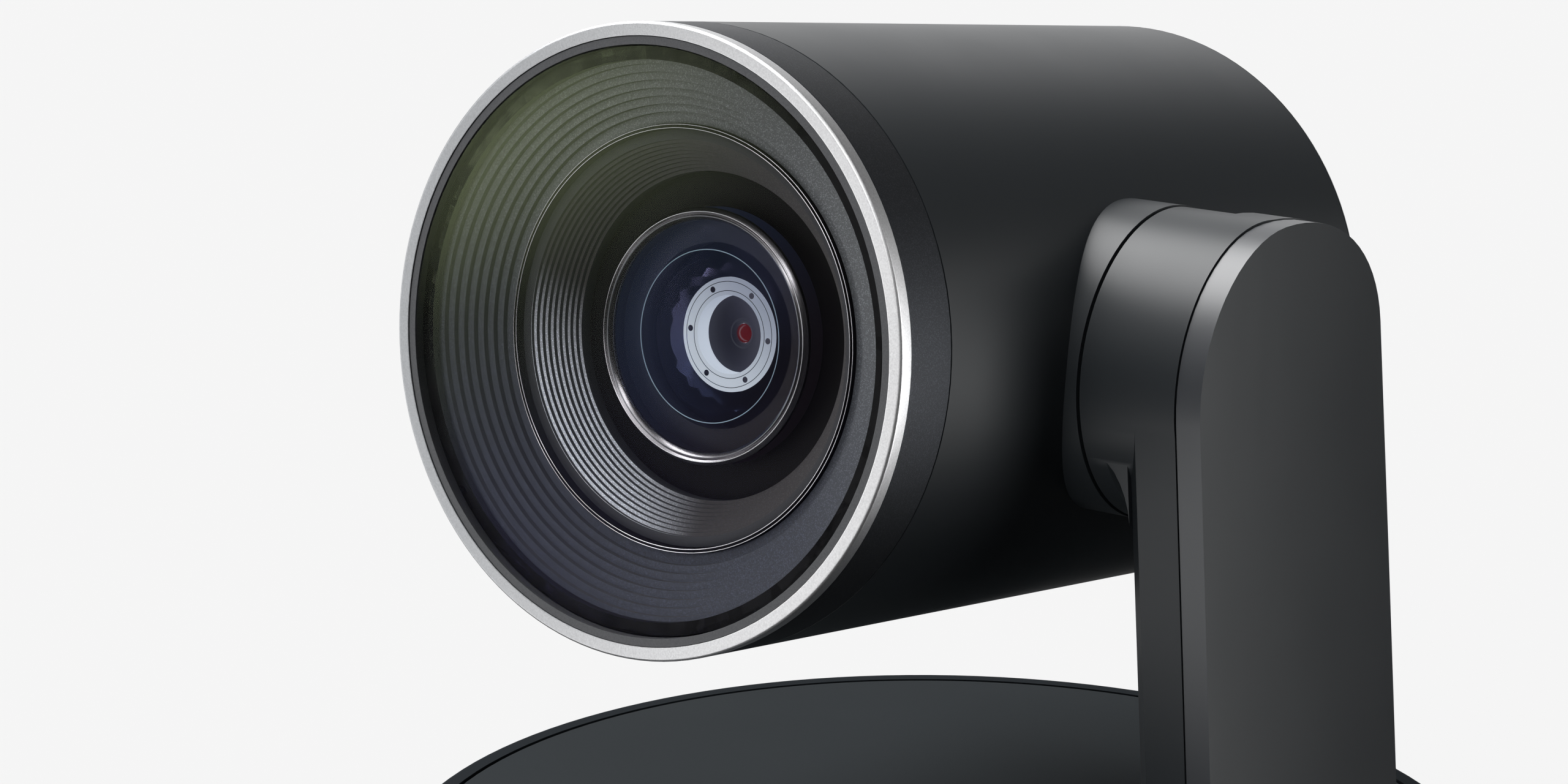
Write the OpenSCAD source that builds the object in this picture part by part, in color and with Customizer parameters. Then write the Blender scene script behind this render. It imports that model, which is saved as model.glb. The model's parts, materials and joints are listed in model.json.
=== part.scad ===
// Pan-tilt-zoom conference camera: a drum base, a turntable, one side arm and a tilting barrel head.
// +Z is up, the lens looks along -Y, the arm stands on the +X side.
// The origin is the centre of the underside of the rubber foot, on the pan axis.

/* [Base] */
// Outer diameter of the drum base
base_d = 152; // [140:1:180]
// Height of the turntable's top face above the table
base_h = 68.4; // [62:0.2:84]
// Wall of the base shell
base_wall = 2.6; // [2:0.1:3.2]
// Visible width of the shell's rim around the turntable
rim_w = 3.5; // [3:0.1:6]
// Gap between the turntable and the rim
rim_gap = 0.4; // [0.3:0.05:0.8]
// Rounding of the rim's outer edge
rim_round = 1.2; // [0.6:0.1:2]
// Height of the rubber foot under the shell
foot_h = 2; // [1.5:0.1:3]
// Thickness of the floor plate
floor_t = 2.6; // [2:0.1:4]

/* [Head] */
// Outer diameter of the barrel
barrel_d = 80; // [76:0.5:88]
// Wall of the barrel shell
barrel_wall = 2.2; // [1.8:0.1:2.6]
// Tilt axis to the front ring's face
front_reach = 57.4; // [55:0.2:61]
// Tilt axis to the end of the rear cap
back_reach = 60.3; // [58:0.1:64]
// Length of the rear cap's curved end
cap_len = 5.1; // [4:0.1:7]
// Radial width of the rear cap's rounding
cap_round = 21; // [12:1:30]
// Width of the bezel behind the silver ring
bezel_w = 10.8; // [9:0.2:13]
// Nose-up angle at rest
rest_pitch = 7.5; // [0:0.5:12]
// Height of the tilt axis above the table
pivot_h = 142.5; // [141:0.5:165]
// Sideways place of the barrel's axis
barrel_x = -7; // [-9:0.5:-5]

/* [Front glass] */
// Radial width of the silver ring's face
ring_w = 1.8; // [1.2:0.1:2.4]
// Thickness of the silver ring
ring_t = 2.2; // [1.6:0.1:3]
// Radial width of the window frame's face
frame_w = 1.1; // [0.8:0.1:1.6]
// Thickness of the flat window
window_t = 1.2; // [1:0.1:1.6]
// Radial width of the black gasket behind the window's edge
gasket_w = 1.7; // [1.2:0.1:2.2]
// Thickness of the gasket
gasket_t = 1.2; // [0.8:0.1:1.6]

/* [Light baffles] */
// Width of one step of the outer baffle
step_w = 1; // [0.8:0.05:1.05]
// Depth of one step of the outer baffle
step_d = 0.79; // [0.5:0.01:0.85]
// Number of narrow steps on the outer baffle
step_n = 7; // [5:1:7]
// Width of the last, wide step
last_step_w = 1.45; // [1:0.05:1.8]
// Width of one step of the inner baffle
fine_w = 0.45; // [0.35:0.05:0.5]
// Depth of one step of the inner baffle
fine_d = 0.6; // [0.3:0.01:0.65]
// Number of steps on the inner baffle
fine_n = 9; // [6:1:9]

/* [Lens] */
// Outer radius of the lens cell
cell_r = 16.5; // [15:0.1:17.5]
// Depth of the lens rim behind the front ring's face
cell_depth = 13; // [12.6:0.1:14]
// Outer radius of the pale inner barrel
inner_barrel_r = 7.4; // [7:0.1:9]
// Bore of the pale inner barrel
inner_barrel_bore = 5.1; // [4.8:0.1:6]
// Travel of the zoom group
zoom_travel = 8; // [5:0.5:9]
// Travel of the focus group, each way
focus_travel = 1.5; // [1:0.1:2]

/* [Arm] */
// Radius of the hub around the tilt axis
hub_r = 20.3; // [19:0.1:22]
// Back edge of the arm at the height of the tilt axis
arm_back = 29.5; // [25:0.5:31]
// Lean of the arm's front edge
front_lean = 5.6; // [3:0.2:8]
// Lean of the arm's back edge
back_lean = 10; // [6:0.2:11]
// Gap between the barrel's side and the arm's inner face
arm_gap = 8; // [7.5:0.1:9]
// Thickness of the arm up to the seam with its cover
arm_t = 7.9; // [7.6:0.1:9]
// Thickness of the arm's cover
cover_t = 3.7; // [3.4:0.1:5]
// Radius of the cover's crowned face
crown_r = 440; // [380:10:800]
// Wall of the arm and its cover
arm_wall = 1.8; // [1.4:0.1:2]
// Rounding under the hub where it runs into the arm
hub_cove = 4; // [2:0.5:5]

/* [Drives] */
// Teeth on the pan gear
pan_teeth = 60; // [54:2:66]
// Teeth on the pan motor's pinion
pan_pinion_teeth = 12; // [12:1:16]
// Module of the pan gears
pan_module = 1; // [0.9:0.1:1.1]
// Teeth on the tilt gear
tilt_teeth = 36; // [34:2:40]
// Teeth on the idler in the arm
idler_teeth = 30; // [26:2:32]
// Teeth on the tilt motor's pinion
tilt_pinion_teeth = 12; // [12:1:14]
// Module of the tilt gears
tilt_module = 0.8; // [0.7:0.05:0.85]
// Play between two gear teeth at the pitch circle
backlash = 0.16; // [0.1:0.02:0.3]
// Radial clearance of shafts in their bores
run_fit = 0.05; // [0.03:0.01:0.09]
// Radius of the hollow tilt shaft
tilt_shaft_r = 7; // [6:0.1:7.5]
// Outer radius of the pan spindle
spindle_r = 10; // [9:0.1:11]

/* [Hidden] */
$fn = 96;

// Small clearances
fit = 0.05;
loose = 0.2;
seam = 0.15;

// Base
base_r = base_d / 2;
disc_r = base_r - rim_w;
disc_t = 3;
shell_in_r = base_r - base_wall;
floor_top = foot_h + floor_t;
floor_r = shell_in_r - loose;
foot_inset = 12;
foot_w = 10;
foot_out_r = base_r - foot_inset;
foot_in_r = foot_out_r - foot_w;
foot_seat = 0.8;
boss_inset = 6.2;
boss_place_r = base_r - boss_inset;
boss_r = 4.2;
boss_h = 16;
screw_r = 1.4;
screw_head_r = 2.6;
screw_head_h = 1.6;
insert_r = 5.5;
insert_bore = 2.55;
insert_len = 9;
post_inset = 16;
post_place_r = base_r - post_inset;
post_angles = [30, 150, 210, 330];
post_r = 3.5;
chassis_inset = 10;
chassis_r = base_r - chassis_inset;
chassis_z = 38;
chassis_t = 3;
board_z = 12;
board_t = 1.6;
board_w = 76;
board_front = -34;
board_gap = 3;
board_posts = [[-33, -28], [33, -28], [-33, 40], [33, 40]];
board_post_r = 3;

// Rear pocket with the sockets
pocket_w = 72;
pocket_low = 7;
pocket_high = 31;
pocket_wall = 2;
panel_inset = 12;
panel_y = base_r - panel_inset;
panel_t = 2;
board_back = panel_y - board_gap;
socket_z = board_z + board_t;
usb_x = -24;
usb_size = [9, 9.6, 3.3];
video_x = -5;
video_size = [15.2, 11, 6];
power_x = 13;
power_size = [9.4, 11, 11];
power_bore_r = 2.9;
power_pin_r = 1;
control_x = 27.5;
control_size = [12.4, 13, 11];
control_wall = 1;
button_x = -14.5;
button_z = 25.5;
button_r = 2;
button_gap = 0.35;
button_travel = 0.8;
lock_w = 7;
lock_h = 3;
lock_x = -28;
lock_z = 25;
window_pill_w = 22;
window_pill_h = 6;
window_pill_z = 30;

// Pan drive
bearing_z = 37;
bearing_h = 5;
ball_r = 1.2;
ball_gap = 2.5;
race_t = 2.5;
race_in_r = spindle_r + race_t;
race_out_r = race_in_r + ball_gap;
bearing_r = race_out_r + race_t + 0.5;
ball_place_r = (race_in_r + race_out_r) / 2;
ball_count = 16;
carrier_wall = 3;
spindle_wall = 4;
spindle_bore = spindle_r - spindle_wall;
spindle_low = 33.4;
flange_r = spindle_r + 12;
flange_screw_inset = 5;
flange_t = 4;
flange_top = base_h - disc_t;
nut_h = bearing_z - spindle_low - loose;
pan_gear_z = 46;
pan_gear_t = 5;
pan_gear_r = pan_teeth * pan_module / 2;
pan_pinion_r = pan_pinion_teeth * pan_module / 2;
pan_centres = pan_gear_r + pan_pinion_r;
pan_motor_angle = 200;
pan_motor_r = 14;
motor_flange_r = pan_motor_r + 2;
motor_flange_t = 1.2;
pan_motor_low = 17;
pan_shaft_r = 2;
skirt_w = 2.5;
skirt_h = 4.4;

// Head
barrel_r = barrel_d / 2;
barrel_in_r = barrel_r - barrel_wall;
ring_y = -front_reach;
ring_in_r = barrel_r - ring_w;
bezel_front = ring_y + ring_t;
bezel_back = ring_y + bezel_w;
cap_seam = back_reach - cap_len;
saddle_r = hub_r + 0.3;
hub_gap_x = barrel_r + 1.6;
hub_gap = 0.4;
shaft_flange_r = tilt_shaft_r + 6;
shaft_screw_r = tilt_shaft_r + 3;
pad_r = shaft_flange_r + 2;
pad_depth = 7;
pad_x = barrel_r - pad_depth;
frame_out_r = ring_in_r - fit;
frame_in_r = ring_in_r - frame_w;
frame_inset = 0.15;
window_r = frame_in_r - seam;
window_front = ring_y + 0.3;
window_back = window_front + window_t;
gasket_in_r = window_r - gasket_w;
gasket_back = window_back + gasket_t;
spigot_len = 4.6;
spigot_t = 1;

// Baffles
baffle_r = window_r - fit;
baffle_top_r = gasket_in_r + 0.45;
baffle_y = gasket_back + 0.5;
baffle_end_r = baffle_top_r - step_n * step_w - last_step_w;
baffle_end_y = baffle_y + step_n * step_d;
lip_out_r = baffle_end_r - fit;
lip_in_r = lip_out_r - 0.65;
lip_front = baffle_end_y - 0.6;
lip_back = baffle_end_y + 2.9;
fine_top_r = lip_in_r - 1.4;
fine_y = baffle_end_y + 1.2;
fine_end_r = fine_top_r - fine_n * fine_w;
fine_end_y = fine_y + fine_n * fine_d;

// Lens
cell_y = ring_y + cell_depth;
cell_wall = 1.5;
retainer_in_r = cell_r - 1.6;
cell_bore = cell_r - cell_wall;
cell_back = -26;
second_r = 12;
face_y = fine_end_y + 1.2;
face_t = 0.8;
inner_barrel_front = cell_y + 5.8;
inner_barrel_back = cell_back - 1.5;
chassis_half = 23;
chassis_wall = 1.8;
rod_x = 15;
rod_r = 1.25;
lead_z = 17.5;
lead_r = 1.2;
carriage_t = 5;
end_gap = 3.7;
zoom_y = -22;
focus_y = zoom_y + carriage_t + zoom_travel + 2 * focus_travel;
chassis_back = focus_y + carriage_t + focus_travel + end_gap + chassis_wall;
group_r = 9;
motor_r = 5;
motor_len = 9;

// Arm
arm_inner = barrel_r + arm_gap;
arm_seam = arm_inner + arm_t;
arm_outer = arm_seam + cover_t;
foot_z = base_h - pivot_h;
crown_y = -12;
bush_r = tilt_shaft_r + 2;
bush_tube_r = bush_r + 3;
bush_reach = 4;
bush_tube_end = arm_inner + bush_reach;
hub_wall = 2;
gear_gap = 2.2;
gear_x = bush_tube_end + gear_gap;
gear_t = 2.4;
tilt_gear_r = tilt_teeth * tilt_module / 2;
idler_r = idler_teeth * tilt_module / 2;
tilt_pinion_r = tilt_pinion_teeth * tilt_module / 2;
idler_z = -(tilt_gear_r + idler_r);
tilt_pinion_z = idler_z - (idler_r + tilt_pinion_r);
idler_axle_r = 2;
idler_boss_r = 4;
tilt_motor_r = 12.5;
tilt_motor_t = 3.6;
tilt_motor_shaft_r = 1.2;
shaft_bore = 4.5;
shaft_start = pad_x - 2.5;
foot_block_h = 8;
foot_screw_y = [-4, 9, 22];

// Shapes turned about Z, X or Y, drawn as [radius, height] outlines
module turned(points) rotate_extrude() polygon(points);
module turned_x(points) rotate([0, 90, 0]) turned(points);
module turned_y(points) rotate([-90, 0, 0]) turned(points);
module tube(r_out, r_in, low, high) turned([[r_in, low], [r_out, low], [r_out, high], [r_in, high]]);
module tube_x(r_out, r_in, low, high) rotate([0, 90, 0]) tube(r_out, r_in, low, high);
module tube_y(r_out, r_in, low, high) rotate([-90, 0, 0]) tube(r_out, r_in, low, high);
module rod(r, low, high) translate([0, 0, low]) cylinder(r = r, h = high - low);
module rod_x(r, low, high) rotate([0, 90, 0]) rod(r, low, high);
module rod_y(r, low, high) rotate([-90, 0, 0]) rod(r, low, high);
module box(low, high) translate(low) cube(high - low);
module around(count, radius, start = 0)
    for (i = [0 : count - 1]) rotate(start + i * 360 / count) translate([radius, 0, 0]) children();

// The head and the arm are drawn about the tilt axis
module at_pivot() translate([barrel_x, 0, pivot_h]) children();
module at_head() at_pivot() rotate([-rest_pitch, 0, 0]) children();

// Involute gear outline with a tooth centred on the X axis
pressure = 20;
function inv(a) = tan(a) * 180 / PI - a;
function flank(r, pitch_r, teeth) =
    let (rb = pitch_r * cos(pressure), a = acos(min(1, rb / r)))
    90 / teeth - backlash / 4 / pitch_r * 180 / PI + inv(pressure) - inv(a);
function tooth(m, teeth, at) =
    let (rp = m * teeth / 2, rb = rp * cos(pressure), root = rp - 1.2 * m, tip = rp + 0.95 * m,
         low = max(rb, root + 0.05 * m), mid = (low + tip) / 2,
         radii = [low, mid, tip], angles = [for (r = radii) flank(r, rp, teeth)])
    concat([root * [cos(at - angles[0] * 1.08), sin(at - angles[0] * 1.08)]],
           [for (i = [0 : 2]) radii[i] * [cos(at - angles[i]), sin(at - angles[i])]],
           [for (i = [2 : -1 : 0]) radii[i] * [cos(at + angles[i]), sin(at + angles[i])]],
           [root * [cos(at + angles[0] * 1.08), sin(at + angles[0] * 1.08)]]);
function gear_outline(m, teeth) = [for (i = [0 : teeth - 1]) each tooth(m, teeth, i * 360 / teeth)];
module gear(m, teeth, bore, low, high, turn = 0) difference() {
    rotate(turn) translate([0, 0, low]) linear_extrude(high - low) polygon(gear_outline(m, teeth));
    rod(bore, low - 1, high + 1);
}

// Turn that puts a gap of the second gear on a tooth of the first, along the direction from first to second
function mesh_turn(direction, turn1, teeth1, teeth2) =
    direction + 180 + 180 / teeth2 + (direction - turn1) * teeth1 / teeth2;

// ---- Base ----
module at_screws() around(4, boss_place_r, 45) children();

module pocket_box(extra) box([-pocket_w / 2 - extra, panel_y - panel_t, pocket_low - extra],
                             [pocket_w / 2 + extra, base_r + 5, pocket_high + extra]);

module pill(extra, low, high) {
    half = window_pill_w / 2 - window_pill_h / 2;
    translate([0, 0, window_pill_z]) rotate([90, 0, 0]) translate([0, 0, low]) {
        for (side = [-1, 1]) translate([side * half, 0, 0])
            cylinder(r = window_pill_h / 2 + extra, h = high - low);
        translate([-half, -window_pill_h / 2 - extra, 0])
            cube([2 * half, window_pill_h + 2 * extra, high - low]);
    }
}

module base_shell() color("#2c2e31") difference() {
    union() {
        turned(concat(
            [[shell_in_r, foot_h], [base_r - 1.5, foot_h], [base_r, foot_h + 1.5]],
            [for (a = [0 : 15 : 90]) [base_r - rim_round + rim_round * cos(a),
                                      base_h - rim_round + rim_round * sin(a)]],
            [[disc_r + rim_gap, base_h], [disc_r + rim_gap, base_h - 3.5], [shell_in_r, base_h - 5]]));
        at_screws() rod(boss_r, floor_top + fit, floor_top + boss_h);
        intersection() {
            pocket_box(pocket_wall);
            rod(base_r - 0.3, 0, base_h);
        }
    }
    pocket_box(0);
    at_screws() rod(screw_r + fit, 0, floor_top + boss_h - 4);
    pill(0.1, 0, base_r + 5);
}

module floor_plate() color("#3a3c3f") difference() {
    union() {
        rod(floor_r, foot_h, floor_top);
        rod(insert_r + 3, foot_h, foot_h + insert_len);
        for (p = board_posts) translate(p) rod(board_post_r, foot_h, board_z);
        for (a = post_angles) rotate(a) translate([post_place_r, 0, 0]) rod(post_r, foot_h, chassis_z);
    }
    tube(foot_out_r + fit, foot_in_r - fit, foot_h - 1, foot_h + foot_seat);
    rod(insert_r, foot_h - 1, foot_h + insert_len + 1);
    at_screws() {
        rod(screw_r + fit, 0, floor_top + 1);
        rod(screw_head_r + fit, 0, foot_h + screw_head_h);
    }
}

module foot_ring() color("#161616") tube(foot_out_r, foot_in_r, 0, foot_h + foot_seat);

module tripod_insert() color("#b08d4f") tube(insert_r, insert_bore, foot_h, foot_h + insert_len);

module base_screws() color("#55575a") at_screws() {
    rod(screw_head_r, foot_h + 0.1, foot_h + screw_head_h);
    rod(screw_r, foot_h + screw_head_h, floor_top + boss_h - 5);
}

module at_pan_motor() rotate(pan_motor_angle) translate([pan_centres, 0, 0]) children();

module base_chassis() color("#8d9196") difference() {
    union() {
        rod(chassis_r, chassis_z, chassis_z + chassis_t);
        rod(bearing_r + carrier_wall, bearing_z - 1.5, bearing_z + bearing_h);
    }
    rod(bearing_r, bearing_z, bearing_z + bearing_h + 1);
    rod(race_out_r, 0, base_h);
    at_pan_motor() rod(pan_pinion_r + pan_module + 1, 0, base_h);
    at_pan_motor() rod(motor_flange_r + loose, 0, chassis_z);
    for (x = [-40, 40]) translate([x, 22, 0]) rod(9, 0, base_h);
}

module main_board() color("#1f5b3a") {
    box([-board_w / 2, board_front, board_z], [board_w / 2, board_back, socket_z]);
    box([-16, -22, socket_z], [0, -6, socket_z + 1.8]);
    box([8, -24, socket_z], [22, -12, socket_z + 1.4]);
    for (x = [-30 : 8 : 30]) translate([x, 36, 0]) rod(1.8, socket_z, socket_z + 3);
}

module port_panel() color("#232427") difference() {
    box([-pocket_w / 2 + fit, panel_y, pocket_low + fit], [pocket_w / 2 - fit, panel_y + panel_t,
        pocket_high - fit]);
    for (port = [[usb_x, usb_size], [video_x, video_size], [power_x, power_size], [control_x, control_size]])
        box([port[0] - port[1][0] / 2 - loose, panel_y - 1, socket_z - loose],
            [port[0] + port[1][0] / 2 + loose, panel_y + panel_t + 1, socket_z + port[1][2] + loose]);
    translate([button_x, 0, button_z]) rod_y(button_r + button_gap, panel_y - 1, panel_y + panel_t + 1);
    box([lock_x - lock_w / 2 - 1.5, panel_y - 1, lock_z - lock_h / 2 - 1.5],
        [lock_x + lock_w / 2 + 1.5, panel_y + panel_t + 1, lock_z + lock_h / 2 + 1.5]);
}

// A metal socket shell standing on the board, open to the back
module socket(x, size, wall) difference() {
    box([x - size[0] / 2, panel_y + panel_t - size[1], socket_z],
        [x + size[0] / 2, panel_y + panel_t, socket_z + size[2]]);
    box([x - size[0] / 2 + wall, panel_y + panel_t - size[1] + 1, socket_z + wall],
        [x + size[0] / 2 - wall, panel_y + panel_t + 1, socket_z + size[2] - wall]);
}

module usb_port() color("#c4c7ca") {
    socket(usb_x, usb_size, 0.4);
    box([usb_x - 3.2, panel_y + panel_t - usb_size[1] + 1, socket_z + 1.3],
        [usb_x + 3.2, panel_y + panel_t - 1.5, socket_z + 2]);
}

module video_port() color("#c4c7ca") {
    socket(video_x, video_size, 0.5);
    box([video_x - 5.6, panel_y + panel_t - video_size[1] + 1, socket_z + 2.4],
        [video_x + 5.6, panel_y + panel_t - 2, socket_z + 3.6]);
}

module power_jack() color("#1b1b1c") {
    difference() {
        box([power_x - power_size[0] / 2, panel_y + panel_t - power_size[1], socket_z],
            [power_x + power_size[0] / 2, panel_y + panel_t, socket_z + power_size[2]]);
        translate([power_x, 0, socket_z + power_size[2] / 2])
            rod_y(power_bore_r, panel_y + panel_t - power_size[1] + 1.5, panel_y + panel_t + 1);
    }
    translate([power_x, 0, socket_z + power_size[2] / 2])
        rod_y(power_pin_r, panel_y + panel_t - power_size[1] + 1, panel_y + panel_t - 1.5);
}

module control_port() color("#c4c7ca") socket(control_x, control_size, control_wall);

module lock_plate() color("#8d9196") difference() {
    box([lock_x - lock_w / 2 - 1.4, panel_y + fit, lock_z - lock_h / 2 - 1.4],
        [lock_x + lock_w / 2 + 1.4, panel_y + panel_t, lock_z + lock_h / 2 + 1.4]);
    box([lock_x - lock_w / 2, panel_y - 1, lock_z - lock_h / 2],
        [lock_x + lock_w / 2, panel_y + panel_t + 1, lock_z + lock_h / 2]);
}

module signal_window() color("#1a1012") intersection() {
    pill(0, 0, base_r + 5);
    tube(base_r - 0.1, shell_in_r, 0, base_h);
}

module pair_button() color("#6a6d70") translate([button_x, 0, button_z]) {
    rod_y(button_r, panel_y - 1.5, panel_y + panel_t + button_travel + loose);
    rod_y(button_r + 1, panel_y - 3, panel_y - 1.5);
}

// ---- Pan drive ----
module pan_motor() color("#b9bcc0") at_pan_motor() difference() {
    union() {
        rod(pan_motor_r, pan_motor_low, chassis_z - motor_flange_t);
        rod(motor_flange_r, chassis_z - motor_flange_t, chassis_z - fit);
        rod(pan_pinion_r, chassis_z - fit, chassis_z + 1.5);
    }
    rod(pan_shaft_r + run_fit, pan_motor_low + 2, chassis_z + 5);
}

module pan_pinion() color("#d8d4c4") at_pan_motor() {
    rotate(-pan_motor_angle)
        gear(pan_module, pan_pinion_teeth, pan_shaft_r - 0.1, pan_gear_z - 0.5, pan_gear_z + pan_gear_t + 0.5,
             mesh_turn(pan_motor_angle, 0, pan_teeth, pan_pinion_teeth));
    rod(pan_shaft_r, pan_motor_low + 3, pan_gear_z + pan_gear_t + 1.5);
}

module pan_bearing_outer() color("#cfd2d6") tube(bearing_r, race_out_r, bearing_z, bearing_z + bearing_h);

module pan_bearing_balls() color("#e6e8ea") around(ball_count, ball_place_r)
    translate([0, 0, bearing_z + bearing_h / 2]) sphere(ball_r);

module pan_bearing_inner() color("#cfd2d6") tube(race_in_r, spindle_r, bearing_z, bearing_z + bearing_h);

module pan_spindle() color("#9a9ea3") difference() {
    union() {
        rod(spindle_r, spindle_low, flange_top - flange_t);
        rod(flange_r, flange_top - flange_t, flange_top);
    }
    rod(spindle_bore, 0, base_h);
    around(4, flange_r - flange_screw_inset) rod(screw_r, flange_top - flange_t - 1, base_h);
}

module spindle_nut() color("#7d8185") tube(spindle_r + 3, spindle_r, spindle_low, spindle_low + nut_h);

module pan_gear() color("#d8d4c4")
    gear(pan_module, pan_teeth, spindle_r, pan_gear_z, pan_gear_z + pan_gear_t);

module spindle_screws() color("#55575a") around(4, flange_r - flange_screw_inset) {
    rod(screw_head_r, flange_top - flange_t - screw_head_h, flange_top - flange_t);
    rod(screw_r, flange_top - flange_t, flange_top + disc_t - 1);
}

module at_foot_screws() for (y = foot_screw_y)
    translate([barrel_x + (arm_inner + arm_wall + arm_seam) / 2, y, 0]) children();

module turntable() color("#37393c") difference() {
    union() {
        turned([[0, base_h - disc_t], [disc_r, base_h - disc_t], [disc_r, base_h - 0.3],
                [disc_r - 0.3, base_h], [0, base_h]]);
        tube(disc_r - 1, disc_r - 1 - skirt_w, base_h - disc_t - skirt_h, base_h - disc_t);
    }
    around(4, flange_r - flange_screw_inset) rod(screw_r, 0, base_h - 1);
    at_foot_screws() rod(screw_r + fit, 0, base_h + 1);
}

// ---- Arm ----
// Side outline of the arm, drawn as [y, z] about the tilt axis, all round by an inset
function arm_outline(inset) =
    let (r = hub_r - inset, back = arm_back - inset,
         back_turn = atan(r / back * tan(back_lean)),
         back_y = back * cos(back_turn), back_z = r * sin(back_turn))
    concat([[-r / cos(front_lean) - foot_z * tan(front_lean), foot_z]],
           [for (a = [180 + front_lean : -(90 + front_lean) / 16 : 90.01]) r * [cos(a), sin(a)]],
           [for (a = [90 : -(90 - back_turn) / 16 : back_turn - 0.01]) [back * cos(a), r * sin(a)]],
           [[back_y + (back_z - foot_z) * tan(back_lean), foot_z]]);

module arm_slab(low, high, inset)
    translate([low, 0, 0]) rotate([90, 0, 90]) linear_extrude(high - low) polygon(arm_outline(inset));

module arm_shell() color("#2f3134") at_pivot() difference() {
    union() {
        hull() {
            arm_slab(arm_inner, arm_inner + 0.1, 2);
            arm_slab(arm_inner + 2, arm_inner + 2.1, 0);
        }
        arm_slab(arm_inner + 2, arm_seam, 0);
        rod_x(hub_r + 0.1, hub_gap_x + hub_gap, arm_seam);
        intersection() {
            turned_x(concat([[0, arm_inner], [0, arm_inner - hub_cove]],
                [for (a = [0 : 15 : 90]) [hub_r + hub_cove - hub_cove * cos(a),
                                          arm_inner - hub_cove + hub_cove * sin(a)]]));
            arm_slab(hub_gap_x, arm_inner + 1, 1.2);
        }
    }
    difference() {
        union() {
            arm_slab(arm_inner + arm_wall, arm_seam + 1, arm_wall);
            rod_x(hub_r - hub_wall, hub_gap_x + hub_gap + hub_wall, arm_seam + 1);
        }
        rod_x(bush_tube_r, hub_gap_x, bush_tube_end);
        translate([0, 0, idler_z]) rod_x(idler_boss_r, arm_inner, gear_x - 0.4);
    }
    rod_x(bush_r, hub_gap_x, bush_tube_end + 1);
    translate([0, 0, idler_z]) rod_x(idler_axle_r, arm_inner + arm_wall, arm_seam);
}

// Upright cylinder whose side is the arm's crowned outer face
module crown(inset) translate([arm_outer - crown_r, crown_y, foot_z - 1])
    cylinder(r = crown_r - inset, h = base_d, $fn = 1440);

module arm_cover() color("#2b2d30") at_pivot() difference() {
    intersection() {
        arm_slab(arm_seam + seam, arm_outer, 0.15);
        crown(0);
    }
    intersection() {
        arm_slab(arm_seam, arm_outer, arm_wall);
        crown(arm_wall);
    }
}

module arm_foot() color("#8d9196") difference() {
    at_pivot() intersection() {
        arm_slab(arm_inner + arm_wall + fit, arm_seam - fit, arm_wall + fit);
        box([arm_inner, -100, foot_z], [arm_seam, 100, foot_z + foot_block_h]);
    }
    at_foot_screws() rod(screw_r, 0, pivot_h);
}

module foot_screws() color("#55575a") at_foot_screws() {
    rod(screw_head_r, base_h - disc_t - screw_head_h, base_h - disc_t);
    rod(screw_r, base_h - disc_t, base_h + foot_block_h - 1);
}

module tilt_motor() color("#b9bcc0") at_pivot() translate([0, 0, tilt_pinion_z]) difference() {
    rod_x(tilt_motor_r, arm_inner + arm_wall + fit, arm_inner + arm_wall + fit + tilt_motor_t);
    rod_x(tilt_motor_shaft_r + run_fit, arm_inner + arm_wall + 1, arm_seam);
}

// Gears in the arm: zero turn puts a tooth on the Z axis pointing down
module arm_gear(teeth, bore, turn, extra = 0)
    rotate([0, 90, 0]) gear(tilt_module, teeth, bore, gear_x - extra, gear_x + gear_t, turn);

module tilt_pinion() color("#d8d4c4") at_pivot() translate([0, 0, tilt_pinion_z]) {
    arm_gear(tilt_pinion_teeth, tilt_motor_shaft_r - 0.1,
             mesh_turn(0, mesh_turn(0, 0, tilt_teeth, idler_teeth), idler_teeth, tilt_pinion_teeth));
    rod_x(tilt_motor_shaft_r, arm_inner + arm_wall + 1.4, gear_x + gear_t);
}

module idler_gear() color("#d8d4c4") at_pivot() translate([0, 0, idler_z])
    arm_gear(idler_teeth, idler_axle_r + run_fit, mesh_turn(0, 0, tilt_teeth, idler_teeth));

module idler_axle() color("#cfd2d6") at_pivot() translate([0, 0, idler_z])
    rod_x(idler_axle_r, arm_inner + arm_wall, gear_x + gear_t + 0.3);

module tilt_bushes() color("#3b3b3b") at_pivot()
    for (x = [hub_gap_x + hub_gap, bush_tube_end - 4]) tube_x(bush_r, tilt_shaft_r + run_fit, x, x + 4);

module tilt_gear() color("#d8d4c4") at_pivot() arm_gear(tilt_teeth, tilt_shaft_r, 0);

module tilt_shaft() color("#9a9ea3") at_head() difference() {
    union() {
        rod_x(shaft_flange_r, shaft_start, pad_x - fit);
        rod_x(tilt_shaft_r, shaft_start, gear_x + gear_t);
    }
    rod_x(shaft_bore, shaft_start - 1, gear_x + gear_t + 1);
    rotate([0, 90, 0]) around(3, shaft_screw_r) rod(screw_r, 0, pad_x + 1);
}

module shaft_screws() color("#55575a") at_head() rotate([0, 90, 0]) around(3, shaft_screw_r) {
    rod(screw_head_r, shaft_start - screw_head_h, shaft_start);
    rod(screw_r, shaft_start, pad_x + 4);
}

// ---- Head casing ----
module head_shell() color("#2b2d30") at_head() difference() {
    union() {
        rod_y(barrel_r, bezel_back, cap_seam);
        rod_x(saddle_r, 0, hub_gap_x);
    }
    difference() {
        rod_y(barrel_in_r, bezel_back - 1, cap_seam + 1);
        rod_x(pad_r, pad_x, barrel_r);
    }
    rod_x(tilt_shaft_r + fit, 0, hub_gap_x + 1);
    rotate([0, 90, 0]) around(3, shaft_screw_r) rod(screw_r, 0, pad_x + 5);
}

function cap_curve(r, len) = [for (a = [0 : 7.5 : 90]) [r - cap_round + cap_round * cos(a),
                                                         cap_seam + len * sin(a)]];

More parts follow.
